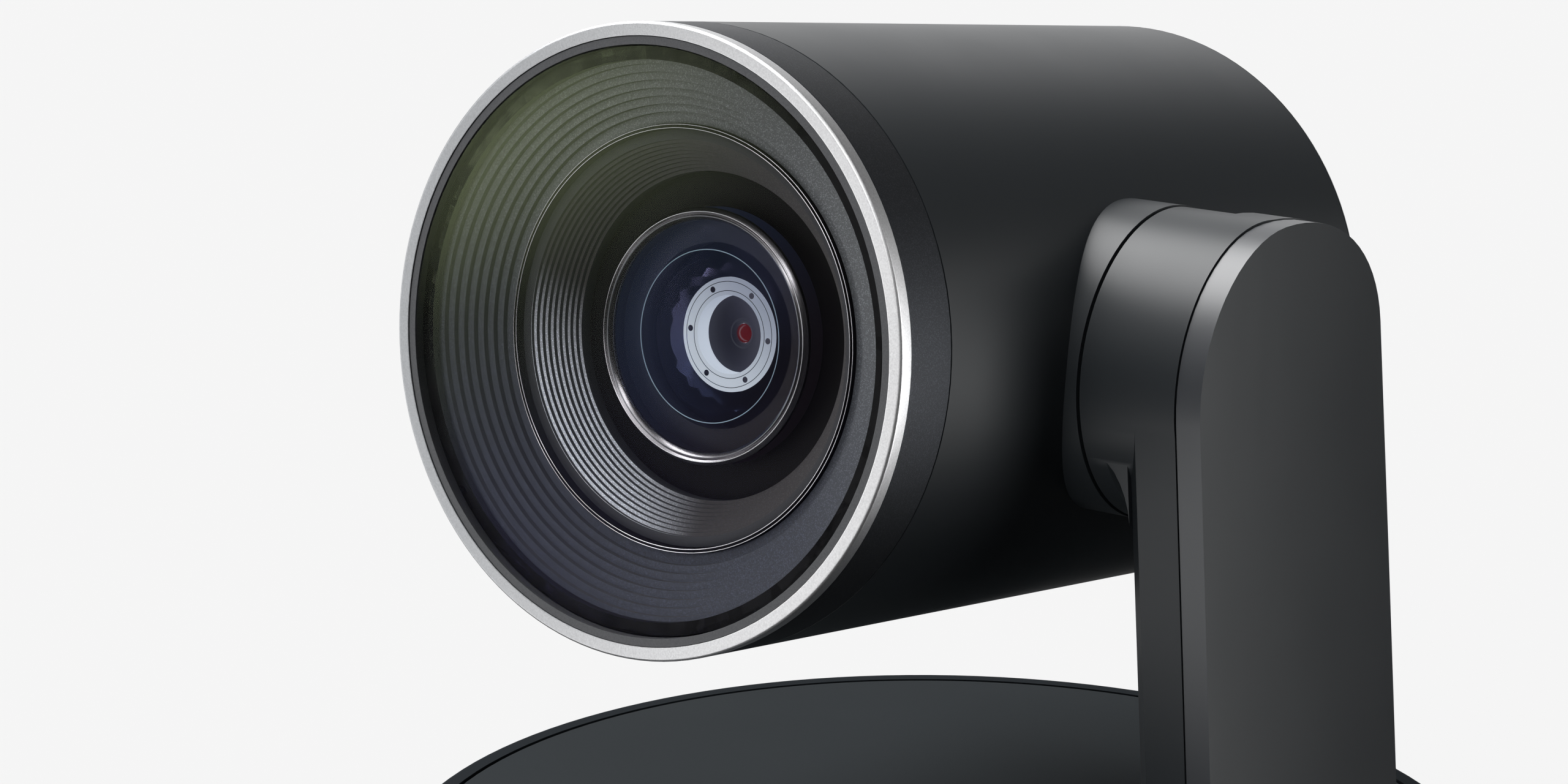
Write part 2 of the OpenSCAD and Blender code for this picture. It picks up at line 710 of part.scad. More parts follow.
module rear_cap() color("#2b2d30") at_head() {
    inner = cap_curve(barrel_in_r - spigot_t, cap_len - barrel_wall);
    turned_y(concat([[barrel_in_r - fit, cap_seam - spigot_len], [barrel_in_r - fit, cap_seam + seam]],
                    [[barrel_r, cap_seam + seam]], [for (i = [1 : 12]) cap_curve(barrel_r, cap_len)[i]],
                    [[0, back_reach], [0, back_reach - barrel_wall]],
                    [for (i = [12 : -1 : 0]) inner[i]],
                    [[barrel_in_r - spigot_t, cap_seam - spigot_len]]));
}

module front_bezel() color("#2a2b2e") at_head()
    turned_y([[ring_in_r - 0.3, bezel_front], [barrel_r, bezel_front], [barrel_r, bezel_back - seam],
              [barrel_in_r - fit, bezel_back - seam], [barrel_in_r - fit, bezel_back + spigot_len],
              [barrel_in_r - fit - spigot_t, bezel_back + spigot_len],
              [barrel_in_r - fit - spigot_t, bezel_back - 2.4], [ring_in_r - 0.3, bezel_back - 2.4]]);

module front_ring() color("#c9cbcd") at_head()
    turned_y([[ring_in_r, ring_y], [barrel_r - 0.3, ring_y], [barrel_r, ring_y + 0.3],
              [barrel_r, bezel_front], [ring_in_r, bezel_front]]);

module window_frame() color("#4a4b4e") at_head()
    turned_y([[frame_in_r, ring_y + frame_inset], [frame_out_r, ring_y + frame_inset],
              [frame_out_r, bezel_front - fit], [ring_in_r - 0.35, bezel_front - fit],
              [ring_in_r - 0.35, bezel_back - 2.6], [frame_in_r, bezel_back - 2.6]]);

module front_window() color([0.6, 0.7, 0.65, 0.3]) at_head() rod_y(window_r, window_front, window_back);

module window_gasket() color("#0e0e0f") at_head()
    tube_y(window_r, gasket_in_r, window_back, gasket_back);

// A run of square steps going inwards and back, as [radius, y] points
function stairs(r, y, w, d, count) =
    [for (i = [0 : count - 1], k = [0, 1]) [r - (i + 1) * w, y + (i + k) * d]];

module outer_baffle() color("#26282c") at_head()
    turned_y(concat([[baffle_r, gasket_back], [baffle_top_r, gasket_back], [baffle_top_r, baffle_y]],
                    stairs(baffle_top_r, baffle_y, step_w, step_d, step_n),
                    [[baffle_end_r, baffle_end_y], [baffle_end_r, baffle_end_y + 1.8],
                     [baffle_end_r + 1, baffle_end_y + 1.8], [baffle_r - 0.3, baffle_y + 2],
                     [baffle_r, baffle_y + 2]]));

module baffle_lip() color("#1c1c1e") at_head()
    turned_y([[lip_in_r, lip_front], [lip_out_r, lip_front], [lip_out_r, lip_back - 1],
              [lip_out_r + 3, lip_back - 1], [lip_out_r + 3, lip_back], [lip_in_r, lip_back]]);

module inner_baffle() color("#2a2a2d") at_head()
    turned_y(concat([[lip_in_r - fit, fine_y - 0.5], [fine_top_r, fine_y - 0.5], [fine_top_r, fine_y]],
                    stairs(fine_top_r, fine_y, fine_w, fine_d, fine_n),
                    [[fine_end_r, face_y], [fine_end_r + 1, face_y], [lip_in_r - fit, lip_back - 0.3]]));

module lens_face_plate() color("#101011") at_head()
    tube_y(lip_out_r + 3, cell_r + fit, face_y, face_y + face_t);

// ---- Lens ----
module lens_cell() color("#1b1b1d") at_head()
    turned_y([[cell_bore, cell_y + 1.1], [cell_r, cell_y + 1.1], [cell_r, cell_back], [cell_r - 2, cell_back],
              [cell_r - 2, cell_y + 7.8], [inner_barrel_r + fit, cell_y + 7.8],
              [inner_barrel_r + fit, cell_y + 6], [second_r, cell_y + 6], [second_r, cell_y + 3],
              [cell_bore, cell_y + 3]]);

module front_retainer() color("#2a2a2c") at_head()
    turned_y([[retainer_in_r, cell_y + 0.5], [retainer_in_r + 0.5, cell_y], [retainer_in_r + 1.1, cell_y],
              [cell_r, cell_y + 0.6], [cell_r, cell_y + 1.1], [retainer_in_r, cell_y + 1.1]]);

// A lens of radius r with its back rim at y: front and back surfaces bulge towards -Y by their own radii
function sag(radius, r) = radius - sqrt(radius * radius - r * r);
function dome(radius, r, y) = [for (i = [0 : 10]) [r * i / 10, y + sag(radius, r * i / 10) - sag(radius, r)]];
module lens(r, y, edge, front_radius, back_radius, back_r) {
    back = dome(back_radius, back_r, y);
    turned_y(concat(dome(front_radius, r, y - edge), [[r, y]], [for (i = [10 : -1 : 0]) back[i]]));
}

module front_element() color([0.5, 0.55, 0.8, 0.4]) at_head()
    lens(retainer_in_r - fit, cell_y + 2.95, 1.7, 30, 16, 11);

module second_element() color([0.5, 0.55, 0.8, 0.4]) at_head()
    lens(second_r - fit, cell_y + 5.9, 1.4, 70, 50, 9);

module inner_barrel() color("#d9dde0") at_head() difference() {
    tube_y(inner_barrel_r, inner_barrel_bore, inner_barrel_front, inner_barrel_back);
    rotate([-90, 0, 0]) around(6, (inner_barrel_r + inner_barrel_bore) / 2)
        rod(0.35, inner_barrel_front - 1, inner_barrel_front + 1.5);
}

module lens_chassis() color("#2e3033") at_head() {
    half = chassis_half;
    difference() {
        box([-half, cell_back, -half], [half, chassis_back, half]);
        box([chassis_wall - half, cell_back + chassis_wall, chassis_wall - half],
            [half - chassis_wall, chassis_back - chassis_wall, half - chassis_wall]);
        rod_y(inner_barrel_bore, cell_back - 1, chassis_back + 1);
        for (z = [-lead_z, lead_z]) translate([0, 0, z])
            rod_y(lead_r + run_fit, cell_back + 0.6, chassis_back + 1);
    }
    for (z = [-lead_z, lead_z]) translate([0, 0, z]) rod_y(motor_r, chassis_back, chassis_back + motor_len);
    difference() {
        tube_y(barrel_in_r - loose, cell_r + fit, cell_back - 11, cell_back - 9);
        box([-50, cell_back - 12, -50], [-cell_r - 12, cell_back, 50]);
    }
    for (x = [-half + 3, half - 3], z = [-half + 3, half - 3]) translate([x, 0, z])
        rod_y(2, cell_back - 9, cell_back);
}

module guide_rods() color("#d5d8db") at_head() for (x = [-rod_x, rod_x])
    translate([x, 0, 0]) rod_y(rod_r, cell_back + chassis_wall, chassis_back - chassis_wall);

// A lens group: side is the Z side of its lead screw's nut
module carriage(y, side) difference() {
    union() {
        rod_y(group_r, y, y + carriage_t);
        box([-rod_x - 2.5, y, -2.5], [rod_x + 2.5, y + carriage_t, 2.5]);
        box([-2.6, y, min(0, side * (lead_z + 2.6))], [2.6, y + carriage_t, max(0, side * (lead_z + 2.6))]);
    }
    for (x = [-rod_x, rod_x]) translate([x, 0, 0]) rod_y(rod_r + run_fit, y - 1, y + carriage_t + 1);
    translate([0, 0, side * lead_z]) rod_y(lead_r + run_fit, y - 1, y + carriage_t + 1);
}

module zoom_group() color("#35373a") at_head() carriage(zoom_y, -1);

module focus_group() color("#35373a") at_head() carriage(focus_y, 1);

module lead_screw(side) translate([0, 0, side * lead_z])
    rod_y(lead_r, cell_back + 0.8, chassis_back - 0.4);

module lead_screw_zoom() color("#cfd2d6") at_head() lead_screw(-1);

module lead_screw_focus() color("#cfd2d6") at_head() lead_screw(1);

module image_board() color("#1f5b3a") at_head() {
    box([-17, chassis_back + 1.2, -11.5], [17, chassis_back + 2.8, 11.5]);
    box([-6, chassis_back + 0.2, -4.5], [6, chassis_back + 1.2, 4.5]);
    for (x = [-14, 14], z = [-9, 9]) translate([x, 0, z]) rod_y(1.5, chassis_back + 2.8, chassis_back + 13);
    box([-24, chassis_back + 13, -20], [24, chassis_back + 14.6, 20]);
    box([-9, chassis_back + 14.6, -9], [9, chassis_back + 16.6, 9]);
}

base_shell();
floor_plate();
foot_ring();
tripod_insert();
base_screws();
base_chassis();
main_board();
port_panel();
usb_port();
video_port();
power_jack();
control_port();
lock_plate();
signal_window();
pair_button();
pan_motor();
pan_pinion();
pan_bearing_outer();
pan_bearing_balls();
pan_bearing_inner();
pan_spindle();
spindle_nut();
pan_gear();
spindle_screws();
turntable();
arm_shell();
arm_cover();
arm_foot();
foot_screws();
tilt_motor();
tilt_pinion();
idler_gear();
idler_axle();
tilt_bushes();
tilt_gear();
tilt_shaft();
shaft_screws();
head_shell();
rear_cap();
front_bezel();
front_ring();
window_frame();
front_window();
window_gasket();
outer_baffle();
baffle_lip();
inner_baffle();
lens_face_plate();
lens_cell();
front_retainer();
front_element();
second_element();
inner_barrel();
lens_chassis();
guide_rods();
zoom_group();
focus_group();
lead_screw_zoom();
lead_screw_focus();
image_board();
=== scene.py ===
# Looks of the pan-tilt-zoom camera: finishes, rounded casings, glass, light baffles and lens
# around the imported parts.
# Everything is in metres in the row frame: +Z up, the lens looks along -Y, the arm stands on +X.
import json
import math
import bpy
from mathutils import Matrix, Vector

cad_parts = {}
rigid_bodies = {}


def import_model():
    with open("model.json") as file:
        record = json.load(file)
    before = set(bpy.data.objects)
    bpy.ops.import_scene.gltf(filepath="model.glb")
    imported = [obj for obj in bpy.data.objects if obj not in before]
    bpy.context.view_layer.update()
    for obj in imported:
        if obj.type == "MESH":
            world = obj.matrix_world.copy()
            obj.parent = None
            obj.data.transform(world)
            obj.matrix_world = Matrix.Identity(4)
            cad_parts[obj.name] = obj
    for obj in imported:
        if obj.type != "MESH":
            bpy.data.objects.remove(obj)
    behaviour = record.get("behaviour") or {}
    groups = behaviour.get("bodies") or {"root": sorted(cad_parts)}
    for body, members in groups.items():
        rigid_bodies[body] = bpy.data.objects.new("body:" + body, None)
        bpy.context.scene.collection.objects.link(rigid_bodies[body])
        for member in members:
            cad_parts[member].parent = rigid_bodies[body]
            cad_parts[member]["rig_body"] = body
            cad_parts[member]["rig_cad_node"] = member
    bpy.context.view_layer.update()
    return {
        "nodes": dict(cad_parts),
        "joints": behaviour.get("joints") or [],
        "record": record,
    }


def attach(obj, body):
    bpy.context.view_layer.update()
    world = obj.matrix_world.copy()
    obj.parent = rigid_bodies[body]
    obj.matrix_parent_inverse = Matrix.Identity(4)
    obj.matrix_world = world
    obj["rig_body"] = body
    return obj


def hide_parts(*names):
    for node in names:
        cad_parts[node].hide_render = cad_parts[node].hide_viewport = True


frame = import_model()
nodes = frame["nodes"]
slot_of = {part["node"]: part["material_slot"] for part in frame["record"]["subparts"]}
joint_of = {joint["name"]: joint for joint in frame["joints"]}

MM = 0.001
SMALLEST = 1e-6
PIVOT = Vector(joint_of["tilt"]["pos_m"])
BACKWARDS = Vector(joint_of["zoom"]["axis"])
PITCH = math.asin(-BACKWARDS.z)
HEAD = Matrix.Translation(PIVOT) @ Matrix.Rotation(-PITCH, 4, "X")
# Where the painted light and shade leans and the glass's painted reflection tint and haze have their
# middle, above the tilt axis
PAINTED_LIGHT_RISE = 6.3
GLASS_RISE = 7.5
PAINTED_LIGHT_CENTRE = PIVOT + Vector((0, 0, PAINTED_LIGHT_RISE)) * MM


# ---- Modelling helpers ----
def only(*objects):
    bpy.ops.object.select_all(action="DESELECT")
    for item in objects:
        item.select_set(True)
    bpy.context.view_layer.objects.active = objects[0]


def edit_all(piece):
    only(piece)
    bpy.ops.object.mode_set(mode="EDIT")
    bpy.ops.mesh.select_all(action="SELECT")


def done():
    bpy.ops.object.mode_set(mode="OBJECT")


def settle(piece, place):
    piece.matrix_world = place
    only(piece)
    bpy.ops.object.transform_apply(location=True, rotation=True, scale=True)
    piece.select_set(False)


def dress(piece, body, finish, replaced=()):
    piece.data.materials.clear()
    piece.data.materials.append(finish)
    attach(piece, body)
    if replaced:
        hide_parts(*replaced)
    return piece


def eased(outline, rounding):
    """A closed outline with each corner rounded."""
    points = []
    for index, corner in enumerate(outline):
        here = Vector(corner)
        before = Vector(outline[index - 1]) - here
        after = Vector(outline[(index + 1) % len(outline)]) - here
        first = here + before.normalized() * min(rounding, before.length * 0.4)
        last = here + after.normalized() * min(rounding, after.length * 0.4)
        points += [first, here * 0.5 + (first + last) * 0.25, last]
    return points


def turned(name, outline, place, rounding=0.0, steps=160, smooth=40):
    """A ring turned on the lens axis from a closed outline of (radius, depth) in millimetres."""
    if rounding:
        outline = eased(outline, rounding)
    bpy.ops.object.select_all(action="DESELECT")
    bpy.ops.mesh.primitive_circle_add(vertices=len(outline), radius=0.01)
    piece = bpy.context.object
    piece.name = name
    piece.data.name = name
    for vertex, (radius, depth) in zip(piece.data.vertices, outline):
        vertex.co = (radius * MM, depth * MM, 0)
    edit_all(piece)
    bpy.ops.mesh.spin(steps=steps, angle=math.tau, center=(0, 0, 0), axis=(0, 1, 0))
    bpy.ops.mesh.select_all(action="SELECT")
    bpy.ops.mesh.remove_doubles(threshold=SMALLEST)
    bpy.ops.mesh.normals_make_consistent(inside=False)
    done()
    only(piece)
    bpy.ops.object.shade_smooth_by_angle(angle=math.radians(smooth))
    settle(piece, place)
    return piece


def stairs(radius, depth, width, drop, count):
    """Square steps going inwards and back."""
    points = []
    for step in range(count):
        radius -= width
        points += [(radius, depth + step * drop), (radius, depth + (step + 1) * drop)]
    return points


def bead(radius, depth, thick, sides=8):
    """The round outline of a thin wire-like edge."""
    turns = [math.tau * side / sides for side in range(sides)]
    return [(radius + thick * math.cos(turn), depth + thick * math.sin(turn)) for turn in turns]


def darken_risers(piece, finish, lean=0.8):
    """Paints shade on the faces that look at the lens axis: they get their own, darker finish."""
    piece.data.materials.append(finish)
    turn_back = HEAD.to_3x3().inverted()
    for face in piece.data.polygons:
        normal = turn_back @ face.normal
        if math.hypot(normal.x, normal.z) > lean:
            face.material_index = 1


def rolled(piece, width, slices, picks):
    """Rolls over the edges that the test picks, by the normals of the two faces that meet there."""
    only(piece)
    sides = {}
    for face in piece.data.polygons:
        for key in face.edge_keys:
            sides.setdefault(key, []).append(face)
    chosen = [len(sides.get(edge.key, ())) == 2 and picks(*sides[edge.key]) for edge in piece.data.edges]
    bpy.ops.object.mode_set(mode="EDIT")
    bpy.ops.mesh.select_mode(type="EDGE")
    bpy.ops.mesh.select_all(action="DESELECT")
    bpy.ops.object.mode_set(mode="OBJECT")
    for edge, picked in zip(piece.data.edges, chosen):
        edge.select = picked
    bpy.ops.object.mode_set(mode="EDIT")
    bpy.ops.mesh.bevel(offset=width * MM, segments=slices, profile=0.5, affect="EDGES", clamp_overlap=True)
    bpy.ops.mesh.select_mode(type="VERT")
    done()


def rounded_copy(node, rounding, slices=2, sharp=30, roll=None):
    """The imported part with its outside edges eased, ready to stand for it."""
    source = nodes[node]
    piece = source.copy()
    piece.data = source.data.copy()
    piece.parent = None
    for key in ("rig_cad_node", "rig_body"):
        del piece[key]
    piece.name = node + "_finished"
    piece.data.name = piece.name
    bpy.context.scene.collection.objects.link(piece)
    only(piece)
    bpy.ops.mesh.customdata_custom_splitnormals_clear()
    edit_all(piece)
    bpy.ops.mesh.remove_doubles(threshold=2 * SMALLEST)
    bpy.ops.mesh.dissolve_limited(angle_limit=math.radians(0.25))
    done()
    if roll:
        rolled(piece, *roll)
    ease = piece.modifiers.new("eased edges", "BEVEL")
    ease.width = rounding * MM
    ease.segments = slices
    ease.limit_method = "ANGLE"
    ease.angle_limit = math.radians(sharp)
    ease.harden_normals = False
    bpy.ops.object.modifier_apply(modifier=ease.name)
    bpy.ops.object.shade_smooth_by_angle(angle=math.radians(sharp))
    flat = piece.modifiers.new("even faces", "WEIGHTED_NORMAL")
    flat.keep_sharp = True
    bpy.ops.object.modifier_apply(modifier=flat.name)
    piece.select_set(False)
    return piece


# ---- Shared shader groups ----
def shader_group(name, inputs, outputs):
    tree = bpy.data.node_groups.new(name, "ShaderNodeTree")
    for label, kind, value in inputs:
        socket = tree.interface.new_socket(label, in_out="INPUT", socket_type=kind)
        socket.default_value = value
    for label, kind in outputs:
        tree.interface.new_socket(label, in_out="OUTPUT", socket_type=kind)
    source = tree.nodes.new("NodeGroupInput")
    result = tree.nodes.new("NodeGroupOutput")
    return tree, source, result


def add(tree, kind, **settings):
    node = tree.nodes.new(kind)
    for key, value in settings.items():
        setattr(node, key, value)
    return node


def math_node(tree, operation, first, second, clamp=False):
    node = add(tree, "ShaderNodeMath", operation=operation, use_clamp=clamp)
    for index, value in enumerate((first, second)):
        if isinstance(value, (int, float)):
            node.inputs[index].default_value = value
        else:
            tree.links.new(value, node.inputs[index])
    return node.outputs[0]


def make_grain():
    """Fine moulded or sprayed grain: a height for the bump and a tone that goes with it."""
    tree, source, result = shader_group(
        "fine grain", [("Scale", "NodeSocketFloat", 3000.0)],
        [("Height", "NodeSocketFloat"), ("Tone", "NodeSocketFloat")])
    spot = add(tree, "ShaderNodeTexCoord").outputs["Object"]
    noise = add(tree, "ShaderNodeTexNoise")
    noise.inputs["Detail"].default_value = 2.0
    noise.inputs["Roughness"].default_value = 0.6
    tree.links.new(spot, noise.inputs["Vector"])
    tree.links.new(source.outputs["Scale"], noise.inputs["Scale"])
    cells = add(tree, "ShaderNodeTexVoronoi")
    tree.links.new(spot, cells.inputs["Vector"])
    tree.links.new(source.outputs["Scale"], cells.inputs["Scale"])
    mixed = math_node(tree, "ADD", noise.outputs["Fac"],
                      math_node(tree, "MULTIPLY", cells.outputs["Distance"], 0.35))
    tree.links.new(mixed, result.inputs["Height"])
    tree.links.new(noise.outputs["Fac"], result.inputs["Tone"])
    return tree


def make_drift():
    """Slow change of tone over a moulding, with the grain's own tone added on top."""
    tree, source, result = shader_group(
        "tone drift",
        [("Color", "NodeSocketColor", (0.5, 0.5, 0.5, 1)), ("Amount", "NodeSocketFloat", 0.1),
         ("Scale", "NodeSocketFloat", 30.0), ("Tone", "NodeSocketFloat", 0.5),
         ("Speckle", "NodeSocketFloat", 0.2)],
        [("Color", "NodeSocketColor")])
    spot = add(tree, "ShaderNodeTexCoord").outputs["Object"]
    noise = add(tree, "ShaderNodeTexNoise")
    noise.inputs["Detail"].default_value = 3.0
    tree.links.new(spot, noise.inputs["Vector"])
    tree.links.new(source.outputs["Scale"], noise.inputs["Scale"])
    slow = math_node(tree, "MULTIPLY", math_node(tree, "SUBTRACT", noise.outputs["Fac"], 0.5),
                     source.outputs["Amount"])
    quick = math_node(tree, "MULTIPLY", math_node(tree, "SUBTRACT", source.outputs["Tone"], 0.5),
                      source.outputs["Speckle"])
    gain = math_node(tree, "ADD", math_node(tree, "ADD", slow, quick), 1.0)
    scaled = add(tree, "ShaderNodeVectorMath", operation="SCALE")
    tree.links.new(source.outputs["Color"], scaled.inputs["Vector"])
    tree.links.new(gain, scaled.inputs["Scale"])
    tree.links.new(scaled.outputs["Vector"], result.inputs["Color"])
    return tree


def make_handling():
    """Faint differences in gloss, as a handled casing has."""
    tree, source, result = shader_group(
        "handling", [("Roughness", "NodeSocketFloat", 0.4), ("Amount", "NodeSocketFloat", 0.05)],
        [("Roughness", "NodeSocketFloat")])
    spot = add(tree, "ShaderNodeTexCoord").outputs["Object"]
    noise = add(tree, "ShaderNodeTexNoise")
    noise.inputs["Scale"].default_value = 55.0
    noise.inputs["Detail"].default_value = 5.0
    tree.links.new(spot, noise.inputs["Vector"])
    shift = math_node(tree, "MULTIPLY", math_node(tree, "SUBTRACT", noise.outputs["Fac"], 0.5),
                      source.outputs["Amount"])
    total = math_node(tree, "ADD", source.outputs["Roughness"], shift, clamp=True)
    tree.links.new(total, result.inputs["Roughness"])
    return tree


def make_flakes():
    """Sparse bright flakes in a sprayed coat."""
    tree, source, result = shader_group(
        "coat flakes",
        [("Color", "NodeSocketColor", (0.1, 0.1, 0.1, 1)), ("Scale", "NodeSocketFloat", 2500.0),
         ("Share", "NodeSocketFloat", 0.2), ("Gain", "NodeSocketFloat", 3.0)],
        [("Color", "NodeSocketColor")])
    spot = add(tree, "ShaderNodeTexCoord").outputs["Object"]
    cells = add(tree, "ShaderNodeTexVoronoi")
    tree.links.new(spot, cells.inputs["Vector"])
    tree.links.new(source.outputs["Scale"], cells.inputs["Scale"])
    pick = add(tree, "ShaderNodeSeparateColor")
    tree.links.new(cells.outputs["Color"], pick.inputs["Color"])
    lit = math_node(tree, "LESS_THAN", pick.outputs["Red"], source.outputs["Share"])
    gain = math_node(tree, "ADD", math_node(tree, "MULTIPLY", lit, source.outputs["Gain"]), 1.0)
    scaled = add(tree, "ShaderNodeVectorMath", operation="SCALE")
    tree.links.new(source.outputs["Color"], scaled.inputs["Vector"])
    tree.links.new(gain, scaled.inputs["Scale"])
    tree.links.new(scaled.outputs["Vector"], result.inputs["Color"])
    return tree


def make_painted_light_lean():
    """Painted light and shade: one colour passing slowly into another across the head."""
    tree, source, result = shader_group(
        "painted light lean",
        [("Color", "NodeSocketColor", (0.1, 0.1, 0.1, 1)), ("Other", "NodeSocketColor", (0.1, 0.1, 0.1, 1)),
         ("Centre", "NodeSocketVector", (0, 0, 0)), ("Way", "NodeSocketVector", (0, 0, 1)),
         ("Reach", "NodeSocketFloat", 0.03)],
        [("Color", "NodeSocketColor")])
    spot = add(tree, "ShaderNodeTexCoord").outputs["Object"]
    centred = add(tree, "ShaderNodeVectorMath", operation="SUBTRACT")
    tree.links.new(spot, centred.inputs[0])
    tree.links.new(source.outputs["Centre"], centred.inputs[1])
    along = add(tree, "ShaderNodeVectorMath", operation="DOT_PRODUCT")
    tree.links.new(centred.outputs["Vector"], along.inputs[0])
    tree.links.new(source.outputs["Way"], along.inputs[1])
    share = add(tree, "ShaderNodeMapRange", interpolation_type="SMOOTHSTEP")
    tree.links.new(math_node(tree, "MULTIPLY", source.outputs["Reach"], -1.0), share.inputs["From Min"])
    tree.links.new(source.outputs["Reach"], share.inputs["From Max"])
    tree.links.new(along.outputs["Value"], share.inputs["Value"])
    blend = add(tree, "ShaderNodeMix", data_type="RGBA")
    tree.links.new(source.outputs["Color"], blend.inputs["A"])
    tree.links.new(source.outputs["Other"], blend.inputs["B"])
    tree.links.new(share.outputs["Result"], blend.inputs["Factor"])
    tree.links.new(blend.outputs["Result"], result.inputs["Color"])
    return tree


GRAIN_STRENGTH = 0.6
GRAIN = make_grain()
PAINTED_LIGHT_LEAN = make_painted_light_lean()
DRIFT = make_drift()
HANDLING = make_handling()
FLAKES = make_flakes()


def placed_group(tree, group, **values):
    node = add(tree, "ShaderNodeGroup", node_tree=group)
    for label, value in values.items():
        node.inputs[label.replace("_", " ")].default_value = value
    return node


def finish(name, colour, roughness, metallic=0.0, grain=3000.0, depth=0.012, speckle=0.15, drift=0.12,
           handling=0.06, coat=0.0, coat_roughness=0.2, specular=0.5, flakes=None, lean=None, painted_glow=0.0):
    """A procedural finish: colour with drift and speckle, gloss with handling, and a fine grain bump; a
    lean adds painted light and shade across the head, and a glow strength makes the colour shine by itself
    as painted light.
    """
    material = bpy.data.materials.new(name)
    material.use_nodes = True
    tree = material.node_tree
    shader = tree.nodes["Principled BSDF"]
    shader.inputs["Metallic"].default_value = metallic
    shader.inputs["Coat Weight"].default_value = coat
    shader.inputs["Coat Roughness"].default_value = coat_roughness
    shader.inputs["Specular IOR Level"].default_value = specular
    fine = placed_group(tree, GRAIN, Scale=grain)
    tone = placed_group(tree, DRIFT, Color=(*colour, 1), Amount=drift, Speckle=speckle)
    tree.links.new(fine.outputs["Tone"], tone.inputs["Tone"])
    # Painted light and shade: the colour passes slowly into another across the head.
    if lean:
        other, way, start, reach = lean
        way = Vector(way).normalized()
        painted_lean = placed_group(tree, PAINTED_LIGHT_LEAN, Color=(*colour, 1), Other=(*other, 1), Way=way,
                             Centre=PAINTED_LIGHT_CENTRE + way * start * MM, Reach=reach * MM)
        tree.links.new(painted_lean.outputs["Color"], tone.inputs["Color"])
    colour_out = tone.outputs["Color"]
    # Painted glow: the colour shines by itself, standing in for light that reaches the part.
    if painted_glow:
        tree.links.new(colour_out, shader.inputs["Emission Color"])
        shader.inputs["Emission Strength"].default_value = painted_glow
    if flakes:
        share, gain, scale = flakes
        sparkle = placed_group(tree, FLAKES, Scale=scale, Share=share, Gain=gain)
        tree.links.new(colour_out, sparkle.inputs["Color"])
        colour_out = sparkle.outputs["Color"]
    tree.links.new(colour_out, shader.inputs["Base Color"])
    gloss = placed_group(tree, HANDLING, Roughness=roughness, Amount=handling)
    tree.links.new(gloss.outputs["Roughness"], shader.inputs["Roughness"])
    bump = add(tree, "ShaderNodeBump")
    bump.inputs["Distance"].default_value = depth * MM
    bump.inputs["Strength"].default_value = GRAIN_STRENGTH
    tree.links.new(fine.outputs["Height"], bump.inputs["Height"])
    tree.links.new(bump.outputs["Normal"], shader.inputs["Normal"])
    return material


# Glass: its polish, its refractive index, the share it mirrors face on, and how far its painted reflection
# tint and haze slant
GLASS_POLISH = 0.02
GLASS_IOR = 1.45
FACE_ON_SHEEN = 0.035
GLASS_SLANT = 0.4


def coated_glass(name, low, high, edge, span, painted_reflection_haze):
    """Clear glass with a thin tinted reflection: a painted reflection tint drifts in colour up the surface,
    and a painted reflection haze grows up it.
    """
    material = bpy.data.materials.new(name)
    material.use_nodes = True
    tree = material.node_tree
    shader = tree.nodes["Principled BSDF"]
    shader.inputs["Metallic"].default_value = 1.0
    shader.inputs["Roughness"].default_value = GLASS_POLISH
    spot = add(tree, "ShaderNodeTexCoord")
    centred = add(tree, "ShaderNodeMapping")
    centred.inputs["Location"].default_value = (-PIVOT.x, 0, -(PIVOT.z + GLASS_RISE * MM))
    tree.links.new(spot.outputs["Object"], centred.inputs["Vector"])
    axes = add(tree, "ShaderNodeSeparateXYZ")
    tree.links.new(centred.outputs["Vector"], axes.inputs["Vector"])
    sideways = math_node(tree, "MULTIPLY", axes.outputs["X"], GLASS_SLANT)
    rise = math_node(tree, "SUBTRACT", axes.outputs["Z"], sideways)
    share = add(tree, "ShaderNodeMapRange", interpolation_type="SMOOTHSTEP")
    share.inputs["From Min"].default_value = span[0] * MM
    share.inputs["From Max"].default_value = span[1] * MM
    tree.links.new(rise, share.inputs["Value"])
    blend = add(tree, "ShaderNodeMix", data_type="RGBA")
    blend.inputs["A"].default_value = (*low, 1)
    blend.inputs["B"].default_value = (*high, 1)
    tree.links.new(share.outputs["Result"], blend.inputs["Factor"])
    tree.links.new(blend.outputs["Result"], shader.inputs["Base Color"])
    sheen = add(tree, "ShaderNodeFresnel")
    sheen.inputs["IOR"].default_value = GLASS_IOR
    painted_haze = add(tree, "ShaderNodeMapRange", interpolation_type="SMOOTHSTEP")
    for label, value in zip(("To Min", "To Max", "From Min", "From Max"),
                            (painted_reflection_haze[0], painted_reflection_haze[1], painted_reflection_haze[2] * MM, painted_reflection_haze[3] * MM)):
        painted_haze.inputs[label].default_value = value
    tree.links.new(rise, painted_haze.inputs["Value"])
    beyond = math_node(tree, "SUBTRACT", sheen.outputs["Fac"], FACE_ON_SHEEN, clamp=True)
    grazing = math_node(tree, "MULTIPLY", beyond, edge)
    total = math_node(tree, "ADD", grazing, painted_haze.outputs["Result"], clamp=True)
    tree.links.new(total, shader.inputs["Alpha"])
    return material


